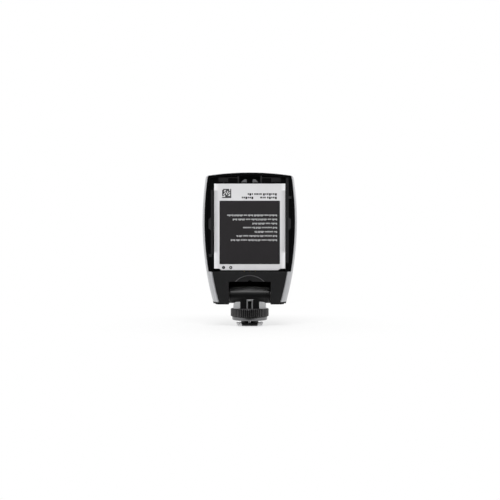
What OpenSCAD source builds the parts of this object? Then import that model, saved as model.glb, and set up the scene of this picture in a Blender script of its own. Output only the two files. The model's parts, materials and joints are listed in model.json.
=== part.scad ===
// Wireless flash trigger: a tilting radio head on a standard accessory-shoe foot with a lock wheel.
// Origin at the centre of the foot's sole, +Z up, battery side towards -Y, display side towards +Y.

/* [Body] */
// Widest width of the head
body_w = 66.6; // [64:0.2:72]
// Height of the head from its lower edge to its crown
body_h = 92.2; // [90:0.2:98]
// Depth of the head in front of the hinge axis
front_depth = 12; // [11.5:0.1:14]
// Radius of the two side edges
side_r = 215; // [180:5:400]
// Radius of the top edge
top_r = 198; // [120:2:300]
// Radius of the two upper corners
corner_r = 2.4; // [1.5:0.1:5]
// Width and depth of the rounding along the front edge
front_round = [3.4, 4.6];
// Amount that the shell's sides draw in from its widest line back to the parting line
rear_taper = 1.7; // [1:0.1:2]
// Amount that the shell's crown draws in from its widest line back to the parting line
crown_taper = 0.8; // [0.4:0.1:2]
// Wall of the mouldings
wall = 1.6; // [1.2:0.1:1.8]

/* [Hinge] */
// Height of the hinge axis above the sole
hinge_z = 21.2; // [20.8:0.1:23]
// Diameter of the hinge barrel at its middle
barrel_d = 12; // [10:0.1:12.2]
// Length of the hinge barrel with its end cap
barrel_len = 28; // [24:0.2:28.4]
// Amount that the barrel is smaller at its ends
barrel_crown = 0.5; // [0.2:0.1:1]
// Diameter of the hinge shaft
shaft_d = 4; // [3:0.1:4.4]
// Room at each end of the barrel for its friction washer
washer_room = 0.5; // [0.4:0.05:0.8]

/* [Foot] */
// Width of the foot plate, set by the accessory shoe
foot_w = 18.6; // [18.4:0.1:18.7]
// Length of the foot plate
foot_l = 18; // [16:0.2:18.6]
// Thickness of the foot plate, set by the accessory shoe
foot_t = 2; // [1.9:0.05:2.1]
// Height of the open slot for the shoe's rails
rail_gap = 1.74; // [1.7:0.02:2.2]
// Diameter of the threaded post
post_d = 12; // [11:0.1:12.4]
// Width of the neck that carries the barrel
neck_w = 13.8; // [13:0.1:15]
// Width of the contact block
contact_w = 10.6; // [10:0.1:11.2]

/* [Lock wheel] */
// Diameter over the ribs
wheel_d = 26.6; // [24:0.2:27]
// Number of grip ribs
wheel_ribs = 58; // [40:2:72]
// Depth of the grip ribs
rib_depth = 0.45; // [0.2:0.05:0.6]
// Thickness of the clamp washer
washer_t = 2.4; // [1.6:0.1:2.6]

/* [Battery] */
// Width of the battery
battery_w = 49.4; // [46:0.2:50]
// Height of the band above the battery, with the door catches
top_band = 8.7; // [8:0.1:10]
// Thickness of the battery
battery_t = 4.4; // [4:0.1:4.4]
// Gap between the battery and its bay
battery_gap = 0.4; // [0.3:0.05:0.5]

/* [Controls] */
// Width of the display lens
lens_w = 50; // [46:0.5:51]
// Distance from the crown down to the display lens
lens_down = 10.2; // [10:0.2:14]
// Diameter of the select dial
dial_d = 22; // [20:0.2:22.6]
// Diameter of the push buttons
button_d = 6.4; // [5:0.1:6.8]
// Height that the controls stand proud of the front
proud = 0.8; // [0.4:0.1:1.2]
// Travel of the push buttons
press = 0.6; // [0.4:0.05:0.7]

/* [Hidden] */

$fn = 96;
eps = 0.01;
slip = 0.05;            // running clearance
seat = 0.1;             // clearance between fixed mouldings
free = 0.3;             // clearance between pieces that pass each other

// heights and outline of the head
lower_edge = hinge_z - 6.2;
crown_z = lower_edge + body_h;
widest_z = lower_edge + 57.4;
lip_top = lower_edge + wall;
cover_top = hinge_z + 16.4;
side_centre = [body_w / 2 - side_r, widest_z];
top_centre = [0, crown_z - top_r];

// depth layout, from the battery side to the display side
cover_y = -10;          // face of the hinge cover
cover_t = 1.8;
relief = 0.7;           // depth of the relief in the cover for the lock wheel
rim_y = -8.5;           // face of the rear housing's rim
parting_y = -6;         // where the silver shell ends around the bay
floor_y = -3.4;         // floor of the battery bay
floor_t = 1.2;
seat_depth = 1.4;       // depth of the battery door's seat below the rim
board_y = 2;            // rear face of the main board
board_t = 1.6;
key_board_y = 5.6;
key_board_t = 1.2;
front_in = front_depth - wall;
rim_step = 0.4;         // step between the shell's rear edge and the rim
flank_inset = 3.9;
cover_inset = 4.6;
widest_y = 4;
// each layer of the skin, with its depth and its insets at the sides and at the crown:
// a parabola behind the widest line, then a round front edge
skin = concat(
    [for (i = [0:5]) let (t = 1 - i / 6)
        [widest_y + (parting_y - widest_y) * t, rear_taper * t * t, crown_taper * t * t]],
    [for (a = [0:15:90]) let (inset = front_round[0] * (1 - cos(a)))
        [front_depth - front_round[1] * (1 - sin(a)), inset, inset]]);

// hinge
barrel_r = barrel_d / 2;
shaft_r = shaft_d / 2;
cutout_w = barrel_len + 2 * washer_room;
friction_r = shaft_r + 2.4;
cap_len = 2.4;
cheek_t = 2.8;
cutout_top = hinge_z + 9.5;
pocket_y = barrel_r + 0.6;
bush_r = shaft_r + 1.4;
cheek_out = cutout_w / 2 + cheek_t;
clip_t = 0.6;
shaft_len = 2 * (cheek_out + clip_t + 0.7);

// foot and lock wheel
post_r = post_d / 2;
washer_z = foot_t + rail_gap;
wheel_z = washer_z + washer_t + slip;
wheel_top = hinge_z - 9.4;
wheel_r = wheel_d / 2;
hub_r = wheel_r - 0.9;
neck_l = 10.8;
neck_corner = 1.6;
plate_corner = 1.2;
pocket = [8.8, 8.4, 3.1];   // room in the post for the shoe contacts' flanges
yoke_w = 4.5;
yoke_wire = 1;
yoke_y = -4.9;
yoke_top = hinge_z - 3.2;
pin_r = 1;
pin_y = yoke_y + 0.3;
slot_w = yoke_w + 0.7;
slot_back = yoke_y + 1.5;
block_front = -foot_l / 2;
block_back = 6.8;
flange_front = -5;
shoe_pins = [[0, 0, 1], [-3.2, 1.8, 0.65], [3.2, 1.8, 0.65], [-1.7, 3.5, 0.65], [1.7, 3.5, 0.65]];
shoe_pin_drop = 0.5;
block_flange = [0.8, 0.7];   // reach under the plate and height
foot_screw_at = [3.9, -3.4];
foot_screw_r = 0.65;

// battery and bay
battery_z = cover_top + 1;
battery_top = crown_z - top_band;
battery_h = battery_top - battery_z;
battery_back = floor_y - 0.2;
battery_front = battery_back - battery_t;
contact_x = [-4, 0, 4];
pad = [2.4, 2, 0.25];
contact_y = (battery_front + battery_back) / 2;
contact_r = 0.55;

// display side
dial_z = lower_edge + 29;
dial_r = dial_d / 2;
button_x = body_w / 2 - 12.8;
button_up = 6;
light_z = dial_z + dial_r + 3.2;
lens_low = light_z + 2.8;
lens_h = crown_z - lens_down - lens_low;
lens_z = lens_low + lens_h / 2;
lens_t = 0.8;
lens_corner = 2.4;
lens_ledge = 1.5;
lcd_w = lens_w - 10;
lcd_h = lens_h - 4;
glass_border = [1.5, 2.5];   // display frame around its glass, at the sides and above
board_inset = 4.4;
can = [18, 24, 2.4];         // radio can: width, height, depth
can_at = [-6, lens_z - 5];
buzzer_r = 4.5;
buzzer_at = [body_w / 2 - 19.3, dial_z + 14];
antenna_at = [body_w / 2 - 19, crown_z - 7.4];
antenna_size = [16, 3, 1.4];
dome_r = 1.6;
encoder_r = 6.9;
set_r = 5.9;
screw_x = battery_w / 2 - 2;
screw_zs = [dial_z, battery_top - 6.5];
screw_r = 0.9;
screw_head_r = 1.7;
boss_r = 2.1;
side_y = 6.2;
side_port_y = 5.4;
side_port_z = dial_z + 10;
side_jack_z = dial_z + 20;
jack_r = 1.8;
jack_depth = 9;
jack_collar_r = 2.9;
jack_body = [5, 6.4];
port = [3.4, 9];
port_wall = 0.3;
port_len = 7.4;
port_inset = 0.5;
port_face = half_width(side_port_z) - port_inset;
switch_z = dial_z + 20;
switch_travel = 3;
knob = [2.7, 5];
knob_plate = [0.9, 1.5];     // depths of the sliding plate behind the side wall
switch_size = [4, 4.9];

// ---------------------------------------------------------------- helpers
function polar(c, r, a) = [c[0] + r * cos(a), c[1] + r * sin(a)];
function arc(c, r, a0, a1, n) = [for (i = [0:n]) polar(c, r, a0 + (a1 - a0) * i / n)];
function angle_of(c, p) = atan2(p[1] - c[1], p[0] - c[0]);

// upper meeting point of two circles
function meet(c0, r0, c1, r1) =
    let (d = norm(c1 - c0), a = (r0 * r0 - r1 * r1 + d * d) / (2 * d), h = sqrt(r0 * r0 - a * a),
         u = (c1 - c0) / d)
    [c0[0] + a * u[0] - h * u[1], c0[1] + a * u[1] + h * u[0]];

// outline of the head above a height, drawn inwards at the sides and at the crown
function half_outline(inset, low, crown) =
    let (rs = side_r - inset, rt = top_r - crown, rc = max(corner_r - inset / 2, 0.6),
         c = meet(side_centre, rs - rc, top_centre, rt - rc),
         a0 = asin((low - widest_z) / rs), a1 = angle_of(side_centre, c), a2 = angle_of(top_centre, c))
    concat(arc(side_centre, rs, a0, a1, 16), arc(c, rc, a1, a2, 6), arc(top_centre, rt, a2, 90, 10));
function outline(inset, low = lower_edge, crown = undef) =
    let (half = half_outline(inset, low, is_undef(crown) ? inset : crown), n = len(half))
    concat(half, [for (i = [n - 2:-1:0]) [-half[i][0], half[i][1]]]);
function rear_outline(inset) = outline(rear_taper + inset, lower_edge, crown_taper + inset);

// half width of the head at a height
function half_width(z, inset = 0) =
    side_centre[0] + sqrt(pow(side_r - inset, 2) - pow(z - widest_z, 2));

// outline with ribs around it, as points
function ribbed(r, depth, count) =
    [for (i = [0:count - 1]) for (k = [[-0.3, 1], [-0.14, 0], [0.14, 0], [0.3, 1]])
        polar([0, 0], r - depth * k[1], 360 * (i + k[0]) / count)];

// a flat shape in X and Z, given thickness from y0 to y1
module slab(y0, y1) {
    translate([0, y1, 0]) rotate([90, 0, 0]) linear_extrude(y1 - y0) children();
}

// a flat shape in Y and Z, given length from x0 to x1
module rod(x0, x1) {
    translate([x0, 0, 0]) rotate([90, 0, 90]) linear_extrude(x1 - x0) children();
}

module rounded(w, h, r) {
    square([w - 2 * r, h], center = true);
    square([w, h - 2 * r], center = true);
    for (x = [-1, 1], y = [-1, 1]) translate([x * (w / 2 - r), y * (h / 2 - r)]) circle(r);
}

module above(z) {
    intersection() {
        children();
        translate([-body_w, z]) square([2 * body_w, body_h]);
    }
}

module below(z) {
    intersection() {
        children();
        translate([-body_w, z - body_h]) square([2 * body_w, body_h]);
    }
}

module both_sides() {
    for (s = [-1, 1]) scale([s, 1, 1]) children();
}

module tube_y(y0, y1, x, z, r) {
    slab(y0, y1) translate([x, z]) circle(r);
}

// ---------------------------------------------------------------- foot
module foot_window(grow, reach, z0, z1) {
    front = reach > 0 ? flange_front - grow : block_front - 1;
    half = contact_w / 2 + grow + reach;
    translate([-half, front, z0]) cube([2 * half, block_back + grow - front, z1 - z0]);
}

module foot_plate() {
    color("silver") difference() {
        linear_extrude(foot_t) rounded(foot_w, foot_l, plate_corner);
        foot_window(seat, 0, -1, foot_t + 1);
        foot_window(seat, block_flange[0], -1, block_flange[1] + seat);
    }
}

module contact_block() {
    color([0.09, 0.09, 0.1]) difference() {
        union() {
            intersection() {
                foot_window(0, 0, slip, foot_t);
                translate([-foot_w, block_front + 0.2, 0]) cube([2 * foot_w, foot_l, foot_t]);
            }
            foot_window(0, block_flange[0], slip, block_flange[1]);
        }
        for (p = shoe_pins) translate([p[0], p[1], -1]) cylinder(r = p[2] + seat, h = foot_t + 2);
        translate([0, pin_y, -1]) cylinder(r = pin_r + seat, h = foot_t + 2);
        for (s = [-1, 1]) translate([s * foot_screw_at[0], foot_screw_at[1], -1]) {
            cylinder(r = foot_screw_r + slip, h = foot_t + 2);
            cylinder(r = 2 * foot_screw_r, h = 1.9);
        }
    }
}

module foot_screws() {
    color("dimgray") for (s = [-1, 1]) translate([s * foot_screw_at[0], foot_screw_at[1], 0])
        difference() {
            union() {
                translate([0, 0, 0.15]) cylinder(r = 2 * foot_screw_r - seat, h = 0.75);
                translate([0, 0, 0.15]) cylinder(r = foot_screw_r, h = foot_t + 3.4);
            }
            for (a = [0, 90]) rotate(a) translate([-0.7, -0.12, 0]) cube([1.4, 0.24, 0.45]);
        }
}

module shoe_contact_pins() {
    color("gold") for (p = shoe_pins) translate([p[0], p[1], 0]) {
        rotate_extrude() polygon([[0, -shoe_pin_drop], [p[2] - 0.25, -shoe_pin_drop],
            [p[2], 0.25 - shoe_pin_drop], [p[2], foot_t + 0.15], [p[2] + 0.35, foot_t + 0.15],
            [p[2] + 0.35, foot_t + 0.55], [p[2], foot_t + 0.55], [p[2], foot_t + 1.2],
            [0, foot_t + 1.2]]);
    }
}

// neck, threaded post and hinge barrel in one moulding
module hinge_barrel() {
    crown_r = pow(barrel_len / 2, 2) / (2 * barrel_crown);
    color([0.07, 0.07, 0.08]) difference() {
        union() {
            translate([0, 0, foot_t]) cylinder(r = post_r, h = wheel_top - foot_t + eps);
            translate([0, 0, wheel_top]) linear_extrude(hinge_z - wheel_top)
                rounded(neck_w, neck_l, neck_corner);
            translate([0, 0, hinge_z]) rotate([0, 90, 0]) rotate_extrude() intersection() {
                translate([0, -barrel_len / 2]) square([barrel_r, barrel_len - cap_len - slip]);
                translate([barrel_r - crown_r, 0]) circle(crown_r, $fn = 720);
            }
        }
        rod(-barrel_len, barrel_len) translate([0, hinge_z]) circle(shaft_r + slip / 2);
        translate([-slot_w / 2, -neck_l, foot_t - 1])
            cube([slot_w, neck_l + slot_back, yoke_top + free - foot_t + 1]);
        intersection() {
            translate([0, 0, foot_t - 1]) cylinder(r = post_r - 0.9, h = pocket[2]);
            translate([-pocket[0] / 2, slot_back + 1.8, 0]) cube([pocket[0], pocket[1], wheel_top]);
        }
        for (s = [-1, 1]) translate([s * foot_screw_at[0], foot_screw_at[1], 0])
            cylinder(r = foot_screw_r + slip, h = foot_t + 4);
    }
}

module barrel_cap() {
    crown_r = pow(barrel_len / 2, 2) / (2 * barrel_crown);
    color([0.1, 0.1, 0.11]) difference() {
        translate([0, 0, hinge_z]) rotate([0, 90, 0]) rotate_extrude() intersection() {
            translate([0, barrel_len / 2 - cap_len]) square([barrel_r, cap_len]);
            translate([barrel_r - crown_r, 0]) circle(crown_r, $fn = 720);
        }
        rod(0, barrel_len) translate([0, hinge_z]) circle(shaft_r + slip / 2);
    }
}

// saddle under the barrel, with rounded shoulders either side of the neck
module neck_bracket() {
    half = barrel_len / 2 - cap_len - 0.2;
    shoulder_r = 2.6;
    top = hinge_z - 4.7;
    color("silver") difference() {
        slab(-neck_l / 2 + 0.6, neck_l / 2 + 0.8) {
            translate([-half, wheel_top]) square([2 * half, top - shoulder_r - wheel_top]);
            translate([shoulder_r - half, wheel_top]) square([2 * (half - shoulder_r), top - wheel_top]);
            for (s = [-1, 1]) translate([s * (half - shoulder_r), top - shoulder_r]) circle(shoulder_r);
        }
        rod(-half - 1, half + 1) translate([0, hinge_z]) circle(barrel_r + seat);
        translate([0, 0, wheel_top - 1]) linear_extrude(hinge_z)
            rounded(neck_w + 2 * slip, neck_l + 2 * slip, neck_corner);
        translate([0, 0, wheel_top - 1]) cylinder(r = hub_r, h = 1 + slip);
    }
}

module hinge_shaft() {
    color("lightgray") rod(-shaft_len / 2, shaft_len / 2) translate([0, hinge_z]) circle(shaft_r);
}

module friction_washers() {
    color("gray") both_sides() rod(barrel_len / 2 + slip, cutout_w / 2 - slip) difference() {
        translate([0, hinge_z]) circle(friction_r);
        translate([0, hinge_z]) circle(shaft_r + seat);
    }
}

module shaft_clips() {
    color("gray") both_sides() rod(cheek_out + slip, cheek_out + slip + clip_t) difference() {
        translate([0, hinge_z]) circle(bush_r + 0.4);
        translate([0, hinge_z]) circle(shaft_r);
        translate([-0.9, hinge_z - 9]) square([1.8, 9]);
    }
}

// ---------------------------------------------------------------- lock wheel
module clamp_washer() {
    color("lightgray") difference() {
        translate([0, 0, washer_z]) rotate_extrude() polygon([[0, 0.3], [post_r + 1, 0.3],
            [post_r + 1, 0], [hub_r - 0.6, 0], [hub_r - 0.2, 0.4], [hub_r, washer_t - 0.2],
            [hub_r - 0.2, washer_t], [0, washer_t]]);
        difference() {
            translate([0, 0, washer_z - 1]) cylinder(r = post_r + seat, h = washer_t + 2);
            translate([-slot_w / 2 + seat, -post_r - 1, washer_z - 2])
                cube([slot_w - 2 * seat, post_r + 1 + slot_back - seat, washer_t + 4]);
        }
    }
}

module lock_pin_yoke() {
    tongue_top = washer_z + washer_t;
    color("gainsboro") {
        slab(yoke_y - 0.5, yoke_y + 0.5) difference() {
            translate([-yoke_w / 2, tongue_top]) square([yoke_w, yoke_top - tongue_top]);
            translate([yoke_wire - yoke_w / 2, tongue_top + 0.6])
                square([yoke_w - 2 * yoke_wire, yoke_top - yoke_wire - tongue_top - 0.6]);
        }
        translate([0, pin_y, 0.35]) cylinder(r = pin_r, h = washer_z + 0.3 - 0.35);
    }
}

module lock_wheel() {
    h = wheel_top - wheel_z;
    color([0.2, 0.2, 0.21]) difference() {
        intersection() {
            translate([0, 0, wheel_z]) linear_extrude(h - slip)
                polygon(ribbed(wheel_r, rib_depth, wheel_ribs));
            translate([0, 0, wheel_z]) rotate_extrude() polygon([[0, 0], [hub_r, 0],
                [wheel_r + eps, 0.5], [wheel_r + eps, h - 0.5], [wheel_r - 0.4, h], [0, h]]);
        }
        translate([0, 0, wheel_z - 1]) cylinder(r = post_r + 0.2, h = h + 2);
        translate([0, 0, wheel_top - 0.6]) difference() {
            cylinder(r = wheel_r - 2, h = 2);
            cylinder(r = post_r + 1.8, h = 2);
        }
    }
}

// ---------------------------------------------------------------- head
module skin_form(inset, y_max) {
    hull() for (k = skin) slab(min(k[0], y_max) - eps, min(k[0], y_max))
        polygon(outline(k[1] + inset, lower_edge + k[1] + inset, k[2] + inset));
}

// lower flanks that run back to the hinge cover, open below
module flank_form(inset, low = lower_edge) {
    hull() for (k = [[parting_y, skin[0][1]], [cover_y + 0.4, flank_inset]])
        slab(k[0] - eps, k[0]) below(cover_top) polygon(outline(k[1] + inset, low));
}

module front_shell() {
    color([0.72, 0.73, 0.75]) difference() {
        union() {
            difference() {
                union() {
                    skin_form(0, front_depth);
                    flank_form(0);
                }
                skin_form(wall, front_in);
                flank_form(wall, lower_edge - wall);
                translate([0, -wall, 0]) flank_form(wall, lower_edge - wall);
            }
            for (s = [-1, 1], z = screw_zs) {
                tube_y(board_y + board_t + slip, front_in + eps, s * screw_x, z, boss_r);
                tube_y(key_board_y + key_board_t + slip, front_in + eps, s * screw_x, z, boss_r + 0.6);
            }
        }
        // open lower end, closed by the cradle's lip
        translate([-body_w, cover_y - 1, 0]) cube([2 * body_w, 40, lip_top + slip]);
        // seat of the hinge cover, and room for the cradle
        slab(cover_y - 1, cover_y + cover_t + seat) below(cover_top + seat)
            polygon(outline(cover_inset - seat, lower_edge - 1));
        translate([-cheek_out - seat, cover_y, 0])
            cube([2 * (cheek_out + seat), pocket_y + wall + seat - cover_y, cutout_top + wall + seat]);
        // display lens, dial, buttons, light
        slab(front_depth - lens_t - seat - slip, front_depth + 1)
            translate([0, lens_z]) rounded(lens_w + 2 * seat, lens_h + 2 * seat, lens_corner + seat);
        slab(0, front_depth + 1) translate([0, lens_z])
            rounded(lens_w - 2 * lens_ledge, lens_h - 2 * lens_ledge, lens_corner - 1);
        tube_y(0, front_depth + 1, 0, dial_z, dial_r + 0.2);
        for (x = [-1, 1], z = [-1, 1])
            tube_y(0, front_depth + 1, x * button_x, dial_z + z * button_up, button_d / 2 + 0.15);
        tube_y(0, front_depth + 1, 0, light_z, 1.15);
        for (s = [-1, 1], z = screw_zs) tube_y(0, front_in - 0.5, s * screw_x, z, screw_r + slip);
        // ports and switch slot in the sides
        rod(-body_w, -body_w / 4) translate([side_y, side_jack_z]) circle(jack_collar_r + 0.2);
        rod(-body_w, -body_w / 4) translate([side_port_y, side_port_z])
            rounded(port[0] + 0.4, port[1] + 0.6, 1.8);
        rod(body_w / 4, body_w) translate([side_y, switch_z])
            rounded(knob[0] + 0.5, knob[1] + switch_travel + 0.6, 1.4);
    }
}

module bay_outline(grow) {
    translate([-battery_w / 2 - grow, battery_z - grow])
        square([battery_w + 2 * grow, battery_h + 2 * grow]);
}

// what stands on the door seat: rails, clips for the battery door, ribs and pads along the top
module rim_features() {
    seat_y = rim_y + seat_depth;
    rail = battery_w / 2 + battery_gap;
    rib_top = battery_top + 5.4;
    // rails beside the battery, the right one carried on up to the rim
    for (k = [[-rail - 1.8, 1.4, battery_z + 11, battery_top - 4.4], [rail, 1.9, battery_z + 5, rib_top]])
        translate([k[0], seat_y - 0.7, k[2]]) cube([k[1], 2, k[3] - k[2]]);
    // door clips at mid height, with sloped ends
    for (s = [-1, 1]) slab(seat_y - 0.9, seat_y + 1)
        polygon([[s * (rail + 1.6), widest_z - 6.5], [s * (rail + 3.4), widest_z - 4.6],
            [s * (rail + 3.4), widest_z + 1.4], [s * (rail + 1.6), widest_z + 3]]);
    // stops for the door
    translate([-rail - 3.6, seat_y - 0.8, battery_z + 9.2]) cube([2.6, 2, 2]);
    translate([rail + 1.5, seat_y - 0.8, battery_top - 10.3]) cube([2.8, 2, 1.7]);
    // ribs and pads along the top
    for (s = [-1, 1]) {
        translate([s * 7.9 - 0.45, seat_y - 0.9, battery_top + 0.5])
            cube([0.9, 2, rib_top - battery_top - 0.5]);
        translate([s * 15.4 - 0.4, seat_y - 0.7, battery_top + 1]) cube([0.8, 2, 3.2]);
        translate([s * 11.65 - 3.8, seat_y - 0.55, battery_top + 3.9]) cube([7.6, 2, 0.6]);
        translate([s * 18.7 - 2.9, seat_y - 0.5, battery_top + 1.2]) cube([5.8, 2, 3.4]);
        translate([s * 18 - 0.35, seat_y - 0.6, battery_top + 0.4]) cube([0.7, 2, 1]);
    }
}

module rear_housing() {
    rim_low = cover_top + 0.15;
    color([0.06, 0.06, 0.07]) difference() {
        union() {
            difference() {
                union() {
                    slab(rim_y, parting_y - slip) above(rim_low) polygon(rear_outline(rim_step));
                    slab(parting_y - slip - eps, floor_y + floor_t)
                        above(rim_low - 0.6) polygon(rear_outline(wall + seat));
                }
                // shallow seat for the battery door
                slab(rim_y - 1, rim_y + seat_depth)
                    above(rim_low + 0.8) polygon(rear_outline(rim_step + 1.5));
                // deep pockets at the top corners
                slab(rim_y - 1, parting_y - 0.7) intersection() {
                    polygon(rear_outline(rim_step + 1.5));
                    for (s = [-1, 1]) translate([s * 23.8 - 1.8, battery_top + 0.8]) square([3.6, 4.2]);
                }
            }
            intersection() {
                rim_features();
                slab(rim_y, parting_y - slip) polygon(rear_outline(rim_step + 1));
            }
            for (s = [-1, 1], z = screw_zs)
                tube_y(floor_y + floor_t - eps, board_y - slip, s * screw_x, z, boss_r);
        }
        slab(rim_y - 1, floor_y) bay_outline(battery_gap);
        // recess for the catches
        translate([-7, rim_y - 1, battery_top + 0.8]) cube([14, 4.1, 4.4]);
        // window for the battery contacts
        translate([contact_x[0] - 1.4, contact_y - 1.4, cover_top - 2])
            cube([contact_x[2] - contact_x[0] + 2.8, 2.8, 4]);
        for (s = [-1, 1], z = screw_zs) {
            tube_y(floor_y - 1, floor_y + 0.9, s * screw_x, z, screw_head_r + 0.2);
            tube_y(floor_y - 1, board_y + 1, s * screw_x, z, screw_r + seat);
        }
    }
}

module door_catches() {
    z = battery_top + 1;
    color([0.33, 0.33, 0.34]) both_sides() slab(rim_y + 1, rim_y + 3.1 - slip)
        polygon([[1.8, z], [6.1, z], [3.9, z + 2.1], [2.2, z + 2.1]]);
}

module hinge_cover() {
    color([0.24, 0.24, 0.25]) difference() {
        slab(cover_y, cover_y + cover_t) intersection() {
            polygon(outline(cover_inset));
            translate([-body_w, lower_edge]) square([2 * body_w, cover_top - lower_edge]);
        }
        slab(cover_y - 1, cover_y + cover_t + 1) {
            translate([-cutout_w / 2, 0]) square([cutout_w, cutout_top - 1]);
            translate([1 - cutout_w / 2, 0]) square([cutout_w - 2, cutout_top]);
            for (s = [-1, 1]) translate([s * (cutout_w / 2 - 1), cutout_top - 1]) circle(1);
            translate([0, cutout_top - 0.5]) circle(1.6);
        }
        // relief for the lock wheel, with a sloped edge
        tube_y(cover_y - 1, cover_y + relief, 0, hinge_z, wheel_r + 0.1);
        translate([0, cover_y, hinge_z]) rotate([-90, 0, 0])
            cylinder(r1 = wheel_r + 0.1 + relief, r2 = wheel_r + 0.1, h = relief);
    }
}

// black pocket behind the cut-out, with the cheeks that hold the bushes and the lip under the shell
module hinge_cradle() {
    back = cover_y + cover_t + slip;
    color([0.05, 0.05, 0.06]) difference() {
        union() {
            translate([-cheek_out, back, lower_edge])
                cube([2 * cheek_out, pocket_y + wall - back, cutout_top + wall - lower_edge]);
            intersection() {
                union() {
                    skin_form(0, front_depth);
                    flank_form(0);
                }
                translate([-body_w, cover_y, lower_edge]) cube([2 * body_w, 40, wall]);
            }
        }
        translate([-cutout_w / 2, back - 5, 0]) cube([cutout_w, pocket_y - back + 5, cutout_top]);
        slab(cover_y - 1, back) polygon(outline(cover_inset - seat, lower_edge - 1));
        rod(-cheek_out - 1, cheek_out + 1) translate([0, hinge_z]) circle(bush_r + slip / 2);
    }
}

module hinge_bushes() {
    color("darkgoldenrod") both_sides() rod(cutout_w / 2, cheek_out) difference() {
        translate([0, hinge_z]) circle(bush_r);
        translate([0, hinge_z]) circle(shaft_r + slip);
    }
}

module display_lens() {
    color([0.03, 0.03, 0.04]) slab(front_depth - lens_t - seat, front_depth - seat)
        translate([0, lens_z]) rounded(lens_w, lens_h, lens_corner);
}

module lcd_module() {
    color([0.55, 0.62, 0.55]) difference() {
        slab(board_y + board_t + slip, front_in - 0.3)
            translate([0, lens_z]) rounded(lcd_w, lcd_h, 0.8);
        slab(front_in - 0.6, front_in)
            translate([0, lens_z]) square([lcd_w, lcd_h] - 2 * glass_border, center = true);
    }
}

module main_board() {
    color("darkgreen") slab(board_y, board_y + board_t) difference() {
        above(cover_top - 2.6) polygon(outline(board_inset));
        for (s = [-1, 1], z = screw_zs) translate([s * screw_x, z]) circle(screw_r + 0.2);
    }
}

module radio_can() {
    color("lightgray") slab(board_y - can[2], board_y)
        translate(can_at) rounded(can[0], min(can[1], lens_h - 6), 0.6);
}

module buzzer() {
    color([0.12, 0.12, 0.13]) difference() {
        tube_y(board_y - 3, board_y, buzzer_at[0], buzzer_at[1], buzzer_r);
        tube_y(board_y - 4, board_y - 2.5, buzzer_at[0], buzzer_at[1], 1);
    }
}

module antenna() {
    color("burlywood") slab(board_y + board_t, board_y + board_t + antenna_size[2])
        translate(antenna_at) rounded(antenna_size[0], antenna_size[1], 0.4);
}

module key_board() {
    half = min(button_x + 2.2, port_face - port_len - 2 * seat);
    color("darkgreen") slab(key_board_y, key_board_y + key_board_t) difference() {
        translate([0, dial_z + 2]) rounded(2 * half, 2 * dial_r + 4, 2);
        for (s = [-1, 1]) translate([s * screw_x, screw_zs[0]]) circle(boss_r + 0.15);
    }
}

module key_domes() {
    y = key_board_y + key_board_t;
    color([0.4, 0.4, 0.42]) {
        for (x = [-1, 1], z = [-1, 1])
            tube_y(y, front_in - 0.9 - press - slip, x * button_x, dial_z + z * button_up, dome_r);
        tube_y(y + 1.5, y + 1.9, 0, dial_z, dome_r);
    }
}

module dial_encoder() {
    y = key_board_y + key_board_t;
    color([0.5, 0.5, 0.52]) difference() {
        union() {
            tube_y(y, y + 1.5, 0, dial_z, dial_r - 2);
            tube_y(y, front_in, 0, dial_z, encoder_r);
        }
        tube_y(y + 1.5, front_in + 1, 0, dial_z, encoder_r - 0.8);
    }
}

module select_dial() {
    y = key_board_y + key_board_t + 1.7;
    color([0.1, 0.1, 0.11]) difference() {
        union() {
            slab(y, front_depth + proud) translate([0, dial_z]) polygon(ribbed(dial_r, 0.3, 48));
            tube_y(y, front_in - 0.2, 0, dial_z, dial_r + 1);
        }
        tube_y(y - 1, front_in + slip, 0, dial_z, encoder_r + slip);
        tube_y(y, front_depth + proud + 1, 0, dial_z, set_r + free);
        tube_y(front_depth + proud - 0.4, front_depth + proud + 1, 0, dial_z, dial_r - 2.4);
    }
}

module set_button() {
    y = key_board_y + key_board_t + 1.9 + slip + press;
    color([0.15, 0.15, 0.16]) {
        tube_y(y + 0.3, front_depth + proud - 0.5, 0, dial_z, set_r);
        tube_y(y, y + 0.4, 0, dial_z, 2.4);
    }
}

module push_button(x, z) {
    tube_y(front_in - 0.9, front_depth + proud - 0.3, x, z, button_d / 2);
    tube_y(front_in - 0.9, front_in - 0.2, x, z, button_d / 2 + 0.4);
}

module menu_button() {
    color([0.13, 0.13, 0.14]) push_button(-button_x, dial_z + button_up);
}

module mode_button() {
    color([0.13, 0.13, 0.14]) push_button(button_x, dial_z + button_up);
}

module test_button() {
    color("firebrick") push_button(-button_x, dial_z - button_up);
}

module light_button() {
    color([0.13, 0.13, 0.14]) push_button(button_x, dial_z - button_up);
}

module status_light() {
    color("seagreen") {
        tube_y(key_board_y + key_board_t, front_in - 0.3, 0, light_z, 1.6);
        tube_y(front_in - 0.4, front_depth - 0.1, 0, light_z, 1);
    }
}

module power_switch() {
    x = half_width(switch_z) - wall;
    z = switch_z - switch_travel / 2;
    color([0.1, 0.1, 0.11]) {
        rod(x - knob_plate[1], x - knob_plate[0]) translate([side_y, z])
            square([knob[0] + 1.3, knob[1] + 2 * switch_travel + 1], center = true);
        difference() {
            rod(x - 1, x + wall - 0.5) translate([side_y, z]) rounded(knob[0], knob[1], 1.2);
            for (i = [-1:1]) translate([x + wall - 0.8, 0, z + i * knob[1] / 4 - 0.2])
                cube([1, side_y * 2, 0.4]);
        }
    }
}

module switch_body() {
    x = half_width(switch_z) - wall - knob_plate[1] - slip;
    color([0.3, 0.3, 0.32]) rod(x - switch_size[0], x)
        translate([side_y - 0.1, switch_z])
            square([switch_size[1], knob[1] + 3 * switch_travel], center = true);
}

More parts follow.
